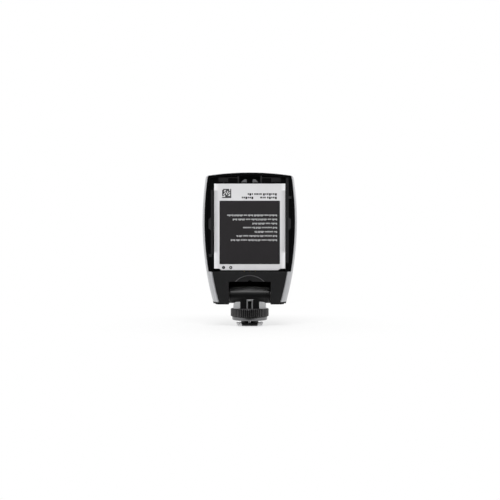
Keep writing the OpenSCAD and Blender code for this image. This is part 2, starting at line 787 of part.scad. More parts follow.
module sync_jack() {
    face = half_width(side_jack_z) - 0.35;
    color([0.1, 0.1, 0.11]) difference() {
        union() {
            rod(wall + 0.4 - face, -lcd_w / 2 - seat)
                translate([side_y, side_jack_z]) square(jack_body, center = true);
            rod(-face, wall + 0.5 - face) translate([side_y, side_jack_z]) circle(jack_collar_r);
        }
        rod(-face - 1, jack_depth - face) translate([side_y, side_jack_z]) circle(jack_r);
    }
}

module usb_port() {
    back = port_len - port_face;
    w = port_wall;
    color("lightgray") translate([0, side_port_y, side_port_z]) {
        difference() {
            rod(-port_face, back) rounded(port[0], port[1], 1.6);
            rod(-port_face - 1, back - 2 * w) rounded(port[0] - 2 * w, port[1] - 2 * w, 1.6 - w);
        }
        rod(0.8 - port_face, back - w) square([0.7, port[1] - 8 * w], center = true);
    }
}

module terminal_block() {
    low = cover_top - 4.6;
    color([0.12, 0.12, 0.13]) difference() {
        translate([contact_x[0] - 4, contact_y - 1.6, low])
            cube([contact_x[2] - contact_x[0] + 8, board_y - contact_y + 1.6, cover_top - 0.6 - low]);
        for (x = contact_x) translate([x, contact_y, low + 0.8]) cylinder(r = contact_r + seat, h = 10);
    }
}

module battery_contacts() {
    color("gold") for (x = contact_x) translate([x, contact_y, cover_top - 2.8]) {
        cylinder(r = contact_r, h = battery_z - slip - cover_top + 2.6);
        translate([0, 0, battery_z - slip - cover_top + 2.6]) cylinder(r1 = contact_r, r2 = 0.3, h = 0.2);
    }
}

module battery_pack() {
    key = 1.1;
    foot_half = battery_w / 2 - 5;
    color([0.78, 0.79, 0.8]) difference() {
        translate([0, (battery_front + battery_back) / 2, battery_z])
            linear_extrude(battery_h) rounded(battery_w, battery_t, 0.6);
        both_sides() slab(battery_front - 1, battery_back + 1) polygon([[foot_half, battery_z - 1],
            [foot_half, battery_z], [foot_half + 1.5, battery_z + key],
            [battery_w, battery_z + key], [battery_w, battery_z - 1]]);
        for (x = contact_x) translate([x, contact_y, battery_z - 1]) linear_extrude(1.4)
            square([pad[0] + 2 * seat, pad[1] + 2 * seat], center = true);
    }
}

module battery_pads() {
    color("gold") for (x = contact_x)
        translate([x - pad[0] / 2, contact_y - pad[1] / 2, battery_z + 0.4 - pad[2]]) cube(pad);
}

module case_screws() {
    color("dimgray") for (s = [-1, 1], z = screw_zs) {
        difference() {
            tube_y(floor_y - 0.1, floor_y + 0.85, s * screw_x, z, screw_head_r);
            tube_y(floor_y - 1, floor_y + 0.4, s * screw_x, z, 0.6);
        }
        tube_y(floor_y + 0.85 - eps, front_in - 1, s * screw_x, z, screw_r);
    }
}

foot_plate();
contact_block();
foot_screws();
hinge_barrel();
barrel_cap();
neck_bracket();
hinge_shaft();
friction_washers();
shaft_clips();
shoe_contact_pins();
clamp_washer();
lock_pin_yoke();
lock_wheel();
front_shell();
rear_housing();
door_catches();
hinge_cover();
hinge_cradle();
hinge_bushes();
display_lens();
lcd_module();
main_board();
radio_can();
buzzer();
antenna();
key_board();
key_domes();
dial_encoder();
status_light();
switch_body();
sync_jack();
usb_port();
terminal_block();
case_screws();
battery_contacts();
battery_pack();
battery_pads();
select_dial();
set_button();
menu_button();
mode_button();
test_button();
light_button();
power_switch();
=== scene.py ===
"""Looks of a wireless flash trigger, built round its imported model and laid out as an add-on."""

import json
import math

import bmesh
import bpy
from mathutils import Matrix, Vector


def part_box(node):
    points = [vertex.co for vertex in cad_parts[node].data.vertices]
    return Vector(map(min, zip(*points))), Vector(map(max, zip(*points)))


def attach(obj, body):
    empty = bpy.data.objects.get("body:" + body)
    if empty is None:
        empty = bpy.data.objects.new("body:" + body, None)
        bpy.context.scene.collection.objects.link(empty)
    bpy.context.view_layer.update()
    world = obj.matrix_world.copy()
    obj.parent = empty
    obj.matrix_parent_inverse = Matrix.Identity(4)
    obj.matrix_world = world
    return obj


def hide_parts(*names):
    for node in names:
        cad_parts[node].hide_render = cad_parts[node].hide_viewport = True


bl_info = {
    "name": "Wireless flash trigger",
    "version": (1, 0, 0),
    "blender": (4, 5, 0),
    "location": "View3D > Sidebar > Trigger",
    "description": "Finishes the packed model of a tilting wireless flash trigger",
    "category": "Object",
}

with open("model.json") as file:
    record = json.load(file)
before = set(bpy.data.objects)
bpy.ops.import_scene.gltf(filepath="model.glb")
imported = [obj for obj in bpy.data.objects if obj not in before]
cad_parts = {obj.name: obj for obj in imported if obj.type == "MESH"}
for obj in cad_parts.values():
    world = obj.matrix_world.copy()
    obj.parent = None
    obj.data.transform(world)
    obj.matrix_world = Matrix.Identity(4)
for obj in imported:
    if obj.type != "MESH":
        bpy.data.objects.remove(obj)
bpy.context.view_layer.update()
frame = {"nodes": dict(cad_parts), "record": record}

MM = 0.001
DEGREE = math.radians(1)
SOFT_ANGLE = 34 * DEGREE   # edges sharper than this are rounded, and shaded as edges
FILM = 0.05 * MM   # print and panels reach this far above and below the face they lie on
BODY_OF = {node: body for body, nodes in frame["record"]["behaviour"]["bodies"].items() for node in nodes}


# ---------------------------------------------------------------- settings
def length(name, description, default):
    """A setting in metres."""
    return bpy.props.FloatProperty(
        name=name, description=description, default=default, min=0, precision=5,
        subtype="DISTANCE", unit="LENGTH")


def colour(name, description, default):
    """A setting that holds a linear colour."""
    return bpy.props.FloatVectorProperty(
        name=name, description=description, default=default, size=3, min=0, max=1, subtype="COLOR")


def share(name, description, default):
    """A setting between 0 and 1."""
    return bpy.props.FloatProperty(
        name=name, description=description, default=default, min=0, max=1, subtype="FACTOR")


def power(name, description, default):
    """A setting in watts."""
    return bpy.props.FloatProperty(
        name=name, description=description, default=default, min=0, subtype="POWER", unit="POWER")


class TriggerSizes(bpy.types.PropertyGroup):
    """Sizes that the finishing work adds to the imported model"""

    moulded_edge: length("Moulded edge", "Rounding of the edges of the mouldings", 0.2 * MM)
    metal_edge: length("Metal edge", "Rounding of the edges of the metal pieces", 0.12 * MM)
    key_edge: length("Key edge", "Rounding of the push buttons", 0.4 * MM)
    battery_edge: length("Battery edge", "Rounding of the battery's edges", 0.45 * MM)
    thread_pitch: length("Thread pitch", "Pitch of the thread on the post", 1.5 * MM)
    thread_depth: length("Thread depth", "Depth of the thread on the post", 0.35 * MM)
    post_radius: length("Post radius", "Radius of the threaded post", 6 * MM)
    panel_side: length("Panel side margin", "Bare foil on each side of the battery's panel", 3.8 * MM)
    panel_below: length("Panel lower margin", "Bare foil below the battery's panel", 4.2 * MM)
    panel_above: length("Panel upper margin", "Bare foil above the battery's panel", 11.8 * MM)
    panel_corner: length("Panel corner", "Radius of the corners of the battery's panel", 0.4 * MM)
    print_height: length("Print height", "Height of the small blocks that stand for print", 1.25 * MM)


class TriggerColours(bpy.types.PropertyGroup):
    """Colours of the finishes"""

    silver_paint: colour("Silver paint", "Satin silver paint of the shell", (0.45, 0.455, 0.47))
    bracket_paint: colour("Bracket paint", "Silver paint of the neck's bracket", (0.82, 0.82, 0.83))
    black_plastic: colour("Black plastic", "Moulded black plastic", (0.0034, 0.0034, 0.0037))
    # paler black of the ribs, rails and pads: a painted highlight
    rail_highlight: colour("Rail plastic", "Ribs, rails and pads of the rear housing", (0.03, 0.0295, 0.031))
    deep_black: colour("Deep black", "Black of the pocket behind the hinge", (0.002, 0.002, 0.0022))
    cover_grey: colour("Cover grey", "Grained dark grey of the hinge cover", (0.0106, 0.0107, 0.0112))
    # painted highlight on the edge of the hinge cover's relief and near the contact block's sole
    highlight_grey: colour("Highlit grey", "Highlit edges of the hinge cover and the block", (0.09, 0.09, 0.092))
    # painted highlight along the top of the barrel
    top_highlight: colour("Highlit top", "Top of the barrel, rubbed by the head", (0.38, 0.38, 0.385))
    catch_grey: colour("Catch grey", "Grey of the door catches", (0.1, 0.1, 0.105))
    wheel_metal: colour("Wheel metal", "Dark anodised metal of the lock wheel", (0.15, 0.147, 0.15))
    washer_metal: colour("Washer metal", "Dark nickel of the clamp washer", (0.18, 0.18, 0.185))
    bright_metal: colour("Bright metal", "Brushed metal of the foot and the yoke", (0.8, 0.8, 0.81))
    steel: colour("Steel", "Machined steel", (0.5, 0.5, 0.51))
    foil: colour("Battery foil", "Satin foil round the battery", (0.745, 0.74, 0.755))
    panel: colour("Battery panel", "Charcoal panel on the battery", (0.024, 0.0222, 0.024))


class TriggerStage(bpy.types.PropertyGroup):
    """Floor, lights and camera"""

    camera_distance: length("Camera distance", "From the battery's face to the camera", 0.6)
    camera_height: length("Camera height", "Height of the camera above the sole", 0.0526)
    camera_aside: length("Camera aside", "From the middle plane to the camera, towards +X", 0.0002)
    view_width: length("View width", "Width of the view at the battery's face", 0.346)
    front_light: power("Front light", "Large soft light in front and above", 1.1)
    side_light: power("Side lights", "Soft light at each side", 0.9)
    strip_light: power("Strip light", "Long narrow light above the camera", 9.5)
    room_light: share("Room light", "Even light from all round", 0.55)
    front_dark: share("Dark in front", "Light that metal and gloss mirror from in front", 0.06)
    floor_white: share("Floor white", "Share of plain white in the floor", 0.7)


# ---------------------------------------------------------------- shader maths
class Socket:
    """An output in a node tree; arithmetic on it adds Math nodes."""

    def __init__(self, nodes, output):
        self.nodes = nodes
        self.output = output

    def math(self, operation, *values):
        """One Math node on these values."""
        return self.nodes.node("ShaderNodeMath", {"operation": operation}, dict(enumerate(values)))

    def __add__(self, other):
        return self.math("ADD", self, other)

    def __sub__(self, other):
        return self.math("SUBTRACT", self, other)

    def __rsub__(self, other):
        return self.math("SUBTRACT", other, self)

    def __mul__(self, other):
        return self.math("MULTIPLY", self, other)

    def __abs__(self):
        return self.math("ABSOLUTE", self)

    def root(self):
        """Square root of this value."""
        return self.math("SQRT", self)

    def over(self, other):
        """1 where this value is above the other, and 0 elsewhere."""
        return self.math("GREATER_THAN", self, other)

    def under(self, other):
        """1 where this value is below the other, and 0 elsewhere."""
        return self.math("LESS_THAN", self, other)

    def most(self, other):
        """The larger of this value and the other."""
        return self.math("MAXIMUM", self, other)

    def wave(self, period):
        """A wave between -1 and 1 that repeats over this period."""
        return self.math("SINE", self * (2 * math.pi / period))

    def spread(self, low, high, to_low=0.0, to_high=1.0):
        """This value moved from one range to another and kept inside it."""
        return self.nodes.node("ShaderNodeMapRange", {}, {
            "Value": self, "From Min": low, "From Max": high, "To Min": to_low, "To Max": to_high})


class Nodes:
    """The node tree of a material or a world, cleared and ready to fill."""

    def __init__(self, owner):
        owner.use_nodes = True
        self.tree = owner.node_tree
        self.tree.nodes.clear()

    def node(self, kind, settings=None, sockets=None, out=0):
        """Adds a node: its type, its settings, its sockets' values or links, and the output to use."""
        node = self.tree.nodes.new(kind)
        for key, value in (settings or {}).items():
            setattr(node, key, value)
        for key, value in (sockets or {}).items():
            if isinstance(value, Socket):
                self.tree.links.new(value.output, node.inputs[key])
            else:
                node.inputs[key].default_value = value
        return Socket(self, node.outputs[out] if node.outputs else None)

    def blend(self, part, first, second):
        """Shader between two shaders."""
        return self.node("ShaderNodeMixShader", {}, {0: part, 1: first, 2: second})

    def part(self, vector, axis):
        """The part of a vector along X, Y or Z."""
        return self.node("ShaderNodeSeparateXYZ", {}, {0: vector}, axis)

    def rays(self):
        """Three values that are 1 for rays from the camera, mirrored rays and rays through glass."""
        return [self.node("ShaderNodeLightPath", out=kind)
                for kind in ("Is Camera Ray", "Is Glossy Ray", "Is Transmission Ray")]


class Finish(Nodes):
    """A procedural material on Object coordinates."""

    def __init__(self, name):
        self.material = bpy.data.materials.new(name)
        super().__init__(self.material)
        self.place = self.node("ShaderNodeTexCoord", out="Object")

    def along(self, axis):
        """The place along X, Y or Z, in metres."""
        return self.part(self.place, axis)

    def off_axis(self):
        """Distance from the vertical line through the origin, in metres."""
        x, y = self.along("X"), self.along("Y")
        return (x * x + y * y).root()

    def noise(self, size, detail=2.0, stretch=(1, 1, 1)):
        """Noise between 0 and 1 with grains of about this size in metres, longer where stretch is below 1."""
        place = self.node("ShaderNodeMapping", {}, {"Vector": self.place, "Scale": stretch})
        return self.node("ShaderNodeTexNoise", {}, {"Vector": place, "Scale": 1 / size, "Detail": detail})

    def cells(self, size):
        """Distance to the nearest of many points spread this far apart in metres."""
        return self.node("ShaderNodeTexVoronoi", {}, {"Vector": self.place, "Scale": 1 / size})

    def mix(self, part, first, second):
        """Colour between two colours."""
        first, second = (tint if isinstance(tint, Socket) else (*tint, 1) for tint in (first, second))
        return self.node("ShaderNodeMix", {"data_type": "RGBA"}, {0: part, 6: first, 7: second}, out=2)

    def tone(self, tint, amount, value):
        """A colour made darker and lighter by a value between 0 and 1."""
        if isinstance(tint, Socket):
            factor = value.spread(0, 1, 1 - amount, 1 + amount)
            return self.node("ShaderNodeVectorMath", {"operation": "SCALE"}, {0: tint, "Scale": factor})
        return self.mix(value, [c * (1 - amount) for c in tint], [min(1, c * (1 + amount)) for c in tint])

    def bump(self, height, depth):
        """Normal of a surface whose relief is this deep, in metres."""
        return self.node("ShaderNodeBump", {}, {"Height": height, "Distance": depth})

    def surface(self, **sockets):
        """Ends the finish in one Principled shader."""
        named = {key.replace("_", " "): value for key, value in sockets.items()}
        self.close(self.node("ShaderNodeBsdfPrincipled", {}, named))

    def close(self, shader):
        """Ends the finish in this shader."""
        self.node("ShaderNodeOutputMaterial", {}, {"Surface": shader})


# ---------------------------------------------------------------- finishes
def painted(finish, tint, metallic, roughness, flake):
    """Satin paint with fine metal flake."""
    grain = finish.noise(flake, 3)
    cloud = finish.noise(18 * MM)
    finish.surface(
        Base_Color=finish.tone(tint, 0.07, grain), Metallic=metallic,
        Roughness=(cloud - 0.5) * 0.08 + (grain - 0.5) * 0.1 + roughness,
        Normal=finish.bump(grain, 0.006 * MM), Coat_Weight=0.12, Coat_Roughness=0.25)


def moulded(finish, tint, roughness, grain_size=0.3 * MM, relief=0.012 * MM, shine=0.18):
    """Moulded plastic with a fine spark texture; its tint and its roughness may vary over the piece."""
    grain = finish.noise(grain_size, 4)
    cloud = finish.noise(9 * MM)
    finish.surface(
        Base_Color=finish.tone(tint, 0.16, grain),
        Roughness=(cloud - 0.5) * 0.07 + (grain - 0.5) * 0.12 + roughness,
        Normal=finish.bump(grain, relief), Specular_IOR_Level=shine)


def housing(finish, tint, raised_highlight_tint):
    """Matt black moulding whose ribs, rails and pads, below the level of its rim, are smoother, and paler as
    a painted highlight.
    """
    depth = finish.along("Y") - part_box("rear_housing")[0].y
    # the ribs, rails and pads: smoother, and painted paler as a highlight
    raised = depth.over(0.35 * MM) * depth.under(1.2 * MM) * depth.spread(0.6 * MM, 0.75 * MM, 1, 0.5)
    moulded(finish, finish.mix(raised, tint, raised_highlight_tint), 0.45 - raised * 0.1,
            grain_size=0.22 * MM, relief=0.005 * MM, shine=0.04)


def cover_grain(finish, tint, ring_highlight_tint):
    """Coarse grain, as from an eroded mould, with a painted highlight on the sloped edge of the wheel's
    relief.
    """
    grain = 0.55 * MM
    centre = sum(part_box("hinge_shaft"), Vector()) / 2
    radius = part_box("lock_wheel")[1].x + 0.45 * MM
    x, above = finish.along("X"), finish.along("Z") - centre.z
    # painted highlight: a paler ring along the sloped edge of the wheel's relief
    highlight = abs((x * x + above * above).root() - radius).under(0.3 * MM)
    fine = finish.noise(grain / 2.5, 3)
    height = finish.cells(grain).spread(0.1, 0.6) * 0.7 + fine * 0.5
    finish.surface(
        Base_Color=finish.mix(highlight, finish.tone(tint, 0.3, height.spread(0.2, 1.0)), ring_highlight_tint),
        Roughness=(fine - 0.5) * 0.15 + 0.5, Normal=finish.bump(height, 0.03 * MM), Specular_IOR_Level=0.28)


def barrel_plastic(finish, tint, highlight_tint):
    """Smooth black moulding with a painted highlight along the top of the barrel, on its front, where the
    head turns round it.
    """
    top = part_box("hinge_barrel")[1].z
    # painted highlight: paler towards the top of the barrel, on its front half
    highlight = finish.along("Z").spread(top - 2.6 * MM, top) * finish.along("Y").spread(-1 * MM, 1 * MM, 1, 0)
    moulded(finish, finish.mix(highlight, tint, highlight_tint), 0.4, relief=0.001 * MM, shine=0.34)


def block_highlight(finish, tint, highlight_tint):
    """Black moulding of the contact block, paler towards the sole as a painted highlight."""
    grain = finish.noise(0.3 * MM, 4)
    # painted highlight: paler up to about 1 mm above the sole
    highlight = (finish.along("Z") + (grain - 0.5) * 0.5 * MM).spread(0.5 * MM, 1.0 * MM, 1, 0)
    finish.surface(
        Base_Color=finish.tone(finish.mix(highlight, tint, highlight_tint), 0.16, grain),
        Roughness=(grain - 0.5) * 0.12 + 0.5, Normal=finish.bump(grain, 0.012 * MM), Specular_IOR_Level=0.18)


def ribbed(finish, tint):
    """Brushed metal, with painted shade in the grooves between the wheel's ribs."""
    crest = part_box("lock_wheel")[1].x
    radius = finish.off_axis()
    # painted shade: darker in the grooves between the ribs
    groove = radius.over(crest - 0.6 * MM) * radius.spread(crest - 0.4 * MM, crest - 0.05 * MM, 1, 0)
    lines = finish.noise(0.12 * MM, 3, (1, 1, 0.1))
    finish.surface(
        Base_Color=finish.tone(finish.mix(groove, tint, [c * 0.2 for c in tint]), 0.08, lines), Metallic=1.0,
        Roughness=(lines - 0.5) * 0.16 + 0.45, Normal=finish.bump(lines, 0.004 * MM))


def brushed(finish, tint, roughness, stretch):
    """Metal brushed along the axis whose part of stretch is below 1."""
    lines = finish.noise(0.12 * MM, 3, stretch)
    cloud = finish.noise(6 * MM)
    finish.surface(
        Base_Color=finish.tone(tint, 0.06, lines), Metallic=1.0,
        Roughness=(lines - 0.5) * 0.16 + (cloud - 0.5) * 0.06 + roughness,
        Normal=finish.bump(lines, 0.004 * MM))


def turned(finish, tint, roughness):
    """Metal with the fine rings that a lathe leaves round the vertical axis."""
    rings = finish.off_axis().wave(0.18 * MM)
    grain = finish.noise(0.15 * MM)
    finish.surface(
        Base_Color=finish.tone(tint, 0.08, grain), Metallic=1.0,
        Roughness=(grain - 0.5) * 0.14 + rings * 0.02 + roughness,
        Normal=finish.bump(rings * 0.5 + grain * 0.5, 0.003 * MM))


def solder_mask(finish):
    """Board lacquer over copper tracks, with bare pads."""
    tracks = finish.along("X").wave(2.4 * MM).over(0.72).most(finish.along("Z").wave(3.1 * MM).over(0.8))
    lacquer = finish.mix(tracks, (0.01, 0.075, 0.035), (0.02, 0.13, 0.06))
    finish.surface(
        Base_Color=finish.mix(finish.cells(1.7 * MM).under(0.16), lacquer, (0.6, 0.45, 0.2)),
        Roughness=finish.noise(1 * MM).spread(0, 1, 0.24, 0.4),
        Normal=finish.bump(tracks, 0.02 * MM))


def foil_wrap(finish, tint):
    """Satin foil, with painted shade towards the long edges, where the rails shade it, and a painted
    highlight at their ends, beyond the rails.
    """
    low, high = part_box("battery_pack")
    # painted shade towards the long edges, turned into a painted highlight near their ends
    edge = abs(finish.along("X")).spread(high.x - 3.4 * MM, high.x - 0.4 * MM)
    z = finish.along("Z")
    lower_end = z.spread(low.z + 11.5 * MM, low.z + 13.5 * MM, 1, 0)
    end_glint = lower_end.most(z.spread(high.z - 5.2 * MM, high.z - 4.2 * MM))
    grain = finish.noise(0.4 * MM, 4, (1, 1, 0.12))
    cloud = finish.noise(15 * MM)
    value = grain * 0.12 + cloud * 0.16 + 0.36 + edge * (end_glint * 0.95 - 0.45)
    finish.surface(
        Base_Color=finish.tone(tint, 0.28, value), Metallic=0.12,
        Roughness=(grain - 0.5) * 0.12 + (cloud - 0.5) * 0.1 + 0.42,
        Normal=finish.bump(grain * 0.3 + cloud, 0.02 * MM))


def display_glass(finish):
    """Black-printed glass with a clear window over a dark liquid-crystal cell."""
    low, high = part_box("display_lens")
    middle, half = (low + high) / 2, (high - low) / 2
    beside = abs(finish.along("X")) - (half.x - 4.5 * MM)
    beyond = abs(finish.along("Z") - middle.z) - (half.z - 5 * MM)
    clear = beside.most(beyond).under(0)
    smear = finish.noise(7 * MM, 4)
    finish.surface(
        Base_Color=finish.mix(clear, (0.006, 0.006, 0.007), (0.03, 0.036, 0.032)),
        Roughness=smear.spread(0.3, 0.7, 0.05, 0.1), Specular_IOR_Level=0.4, Coat_Weight=0.3,
        Coat_Roughness=0.04)


FINISHES = {
    "silver_paint": lambda finish, tints: painted(finish, tints.silver_paint, 0.45, 0.38, 0.14 * MM),
    "bracket_paint": lambda finish, tints: painted(finish, tints.bracket_paint, 0.5, 0.42, 0.1 * MM),
    "black_plastic": lambda finish, tints: moulded(
        finish, tints.black_plastic, 0.36, relief=0.001 * MM, shine=0.34),
    "barrel_plastic": lambda finish, tints: barrel_plastic(finish, tints.black_plastic, tints.top_highlight),
    "housing_plastic": lambda finish, tints: housing(finish, tints.black_plastic, tints.rail_highlight),
    "deep_black": lambda finish, tints: moulded(finish, tints.deep_black, 0.62),
    "cover_grain": lambda finish, tints: cover_grain(finish, tints.cover_grey, tints.highlight_grey),
    "catch_grey": lambda finish, tints: moulded(finish, tints.catch_grey, 0.42),
    "wheel_metal": lambda finish, tints: ribbed(finish, tints.wheel_metal),
    "bright_metal": lambda finish, tints: brushed(finish, tints.bright_metal, 0.36, (0.06, 1, 1)),
    "turned_steel": lambda finish, tints: turned(finish, tints.steel, 0.17),
    "washer_metal": lambda finish, tints: turned(finish, tints.washer_metal, 0.24),
    "drawn_steel": lambda finish, tints: brushed(finish, tints.bright_metal, 0.36, (1, 1, 0.05)),
    "shaft_steel": lambda finish, tints: brushed(finish, tints.steel, 0.22, (0.05, 1, 1)),
    "gold_plate": lambda finish, tints: turned(finish, (0.83, 0.6, 0.24), 0.2),
    "brass": lambda finish, tints: brushed(finish, (0.71, 0.52, 0.24), 0.3, (0.05, 1, 1)),
    "solder_mask": lambda finish, tints: solder_mask(finish),
    "cell_glass": lambda finish, tints: moulded(finish, (0.3, 0.36, 0.3), 0.12, 2 * MM, 0.002 * MM),
    "ceramic": lambda finish, tints: moulded(finish, (0.68, 0.6, 0.46), 0.5, 0.2 * MM),
    "contact_plastic": lambda finish, tints: moulded(finish, (0.008, 0.008, 0.009), 0.5),
    "block_highlight": lambda finish, tints: block_highlight(finish, tints.deep_black, tints.highlight_grey),
    "key_rubber": lambda finish, tints: moulded(finish, (0.035, 0.035, 0.038), 0.62, 0.12 * MM),
    "red_key": lambda finish, tints: moulded(finish, (0.42, 0.03, 0.025), 0.4, 0.12 * MM),
    "lamp_green": lambda finish, tints: moulded(finish, (0.12, 0.34, 0.14), 0.2, 1 * MM),
    "display_glass": lambda finish, tints: display_glass(finish),
    "gloss_black": lambda finish, tints: moulded(finish, (0.01, 0.01, 0.011), 0.16, 1 * MM, 0.002 * MM),
    "battery_foil": lambda finish, tints: foil_wrap(finish, tints.foil),
    "battery_panel": lambda finish, tints: moulded(finish, tints.panel, 0.46, 0.25 * MM, 0.004 * MM),
    "pale_print": lambda finish, tints: moulded(finish, (0.5, 0.5, 0.51), 0.5, 0.2 * MM, 0.002 * MM),
    "dark_print": lambda finish, tints: moulded(finish, (0.008, 0.008, 0.01), 0.5, 0.2 * MM, 0.002 * MM),
}


def material(name):
    """The material with the named finish, made once."""
    full_name = "trigger_" + name
    if full_name not in bpy.data.materials:
        FINISHES[name](Finish(full_name), bpy.context.scene.trigger_colours)
    return bpy.data.materials[full_name]


# ---------------------------------------------------------------- modelling
def alone(*pieces):
    """Selects these objects and no other; the first becomes the active one."""
    if bpy.context.object and bpy.context.object.mode != "OBJECT":
        bpy.ops.object.mode_set(mode="OBJECT")
    bpy.ops.object.select_all(action="DESELECT")
    for piece in pieces:
        piece.select_set(True)
    if pieces:
        bpy.context.view_layer.objects.active = pieces[0]


def edit(piece, kind="FACE"):
    """Opens a piece in edit mode with nothing selected."""
    alone(piece)
    bpy.ops.object.mode_set(mode="EDIT")
    bpy.ops.mesh.select_mode(type=kind)
    bpy.ops.mesh.select_all(action="DESELECT")


def pick(piece, kind, test):
    """Opens a piece in edit mode with those edges or faces selected that pass a test."""
    edit(piece, kind)
    shape = bmesh.from_edit_mesh(piece.data)
    for item in shape.edges if kind == "EDGE" else shape.faces:
        item.select_set(test(item))
    shape.select_flush_mode()
    bmesh.update_edit_mesh(piece.data)


def modify(piece, kind, **settings):
    """Adds a modifier and applies it."""
    alone(piece)
    modifier = piece.modifiers.new(kind.lower(), kind)
    for key, value in settings.items():
        setattr(modifier, key, value)
    bpy.ops.object.modifier_apply(modifier=modifier.name)


def bevelled(piece, width, segments=2, angle=SOFT_ANGLE):
    """Rounds the outward edges; inward corners stay as they are, so that no fillet meets a neighbour."""
    pick(piece, "EDGE", lambda side: side.is_convex and side.calc_face_angle(0) > angle)
    bpy.ops.transform.edge_bevelweight(value=1)
    modify(piece, "BEVEL", width=width, segments=segments, limit_method="WEIGHT", use_clamp_overlap=True)


def merge(piece, distance):
    """Opens a piece in edit mode with all of it selected, and joins vertices closer than this."""
    edit(piece, "VERT")
    bpy.ops.mesh.select_all(action="SELECT")
    bpy.ops.mesh.remove_doubles(threshold=distance)


def merged_copy(node, name):
    """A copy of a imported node, its triangles merged into whole faces."""
    piece = bpy.data.objects.new(name, frame["nodes"][node].data.copy())
    bpy.context.collection.objects.link(piece)
    alone(piece)
    bpy.ops.mesh.customdata_custom_splitnormals_clear()
    merge(piece, 0.002 * MM)
    bpy.ops.mesh.dissolve_limited(angle_limit=0.4 * DEGREE)
    bpy.ops.object.mode_set(mode="OBJECT")
    return piece


def settle(piece, body, look, replaces=()):
    """Fixes a piece's place in its mesh, and gives it its finish and its body."""
    alone(piece)
    bpy.ops.object.transform_apply(location=True, rotation=True, scale=True)
    bpy.ops.object.shade_smooth_by_angle(angle=SOFT_ANGLE)
    modify(piece, "WEIGHTED_NORMAL", keep_sharp=True)
    piece.data.materials.clear()
    piece.data.materials.append(material(look))
    if replaces:
        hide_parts(*replaces)
    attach(piece, body)


def soften(node, look, width, segments=2, angle=SOFT_ANGLE, before=None, after=None):
    """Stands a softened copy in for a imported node, with further work before and after the softening."""
    piece = merged_copy(node, node + "_finished")
    if before:
        before(piece)
    bevelled(piece, width, segments, angle)
    if after:
        after(piece)
    settle(piece, BODY_OF[node], look, [node])


def dished(margin, slope, depth):
    """Work that sinks the outer face of a key into a shallow dish inside a flat margin."""
    step = slope * 0.33
    shares = (0.45, 0.35, 0.2)   # of the depth, in each of the three steps

    def work(piece):
        top = max(vertex.co.y for vertex in piece.data.vertices) - 0.05 * MM
        pick(piece, "FACE", lambda face: face.normal.y > 0.99 and face.calc_center_median().y > top)
        bpy.ops.mesh.inset(thickness=margin)
        for part in shares:
            bpy.ops.mesh.inset(thickness=step, depth=-depth * part)
        bpy.ops.object.mode_set(mode="OBJECT")
    return work


def dress(look, *nodes):
    """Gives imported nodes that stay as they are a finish."""
    for node in nodes:
        for slot in frame["nodes"][node].material_slots:
            slot.link = "OBJECT"
            slot.material = material(look)


def block(name, low, high):
    """A block between two corners, as a start for a piece."""
    alone()
    bpy.ops.mesh.primitive_cube_add(size=1, location=(low + high) / 2, scale=high - low)
    piece = bpy.context.object
    piece.name = name
    bpy.ops.object.transform_apply(location=True, rotation=True, scale=True)
    return piece


def round_corners(piece, radius, segments):
    """Rounds the edges that run along Y."""
    pick(piece, "EDGE", lambda side: side.verts[0].co.xz == side.verts[1].co.xz)
    bpy.ops.mesh.bevel(offset=radius, segments=segments)
    bpy.ops.object.mode_set(mode="OBJECT")


def plates(name, places, corner):
    """One small plate, copied to each place with its own size, joined, and rounded at its corners."""
    alone()
    bpy.ops.mesh.primitive_cube_add(size=1)
    parts = [bpy.context.object]
    while len(parts) < len(places):
        alone(parts[0])
        bpy.ops.object.duplicate()
        parts.append(bpy.context.object)
    for part, (place, size) in zip(parts, places):
        part.location, part.scale = place, size
    bpy.context.view_layer.update()
    alone(*parts)
    bpy.ops.object.join()
    parts[0].name = name
    bpy.ops.object.transform_apply(location=True, rotation=True, scale=True)
    round_corners(parts[0], corner, 2)
    return parts[0]


def ring(name, place, turn, radius, band, thick):
    """A flat ring: a disc inset and opened, then given its thickness along its own axis."""
    alone()
    bpy.ops.mesh.primitive_circle_add(
        vertices=40, radius=radius, fill_type="NGON", rotation=turn, location=place)
    piece = bpy.context.object
    piece.name = name
    bpy.ops.object.transform_apply(location=True, rotation=True, scale=True)
    edit(piece)
    bpy.ops.mesh.select_all(action="SELECT")
    bpy.ops.mesh.inset(thickness=band)
    bpy.ops.mesh.delete(type="FACE")
    bpy.ops.mesh.select_all(action="SELECT")
    bpy.ops.mesh.extrude_region_move(TRANSFORM_OT_translate={"value": thick})
    close_up(piece)
    return piece


def close_up(piece):
    """Joins what lies together and turns every face outwards."""
    merge(piece, 0.001 * MM)
    bpy.ops.mesh.normals_make_consistent(inside=False)
    bpy.ops.object.mode_set(mode="OBJECT")


# ---------------------------------------------------------------- the head
class TRIGGER_OT_shell(bpy.types.Operator):
    """Softens and finishes the silver shell, the black rear housing and the hinge cover"""

    bl_idname = "trigger.shell"
    bl_label = "Shell and housing"

    def execute(self, context):
        edge = context.scene.trigger_sizes.moulded_edge
        soften("front_shell", "silver_paint", edge, 3)
        soften("rear_housing", "housing_plastic", edge)
        soften("hinge_cover", "cover_grain", 1.5 * edge, 3)
        soften("hinge_cradle", "deep_black", edge)
        soften("door_catches", "catch_grey", 1.5 * edge, 3)
        soften("case_screws", "turned_steel", 0.6 * context.scene.trigger_sizes.metal_edge)
        return {"FINISHED"}


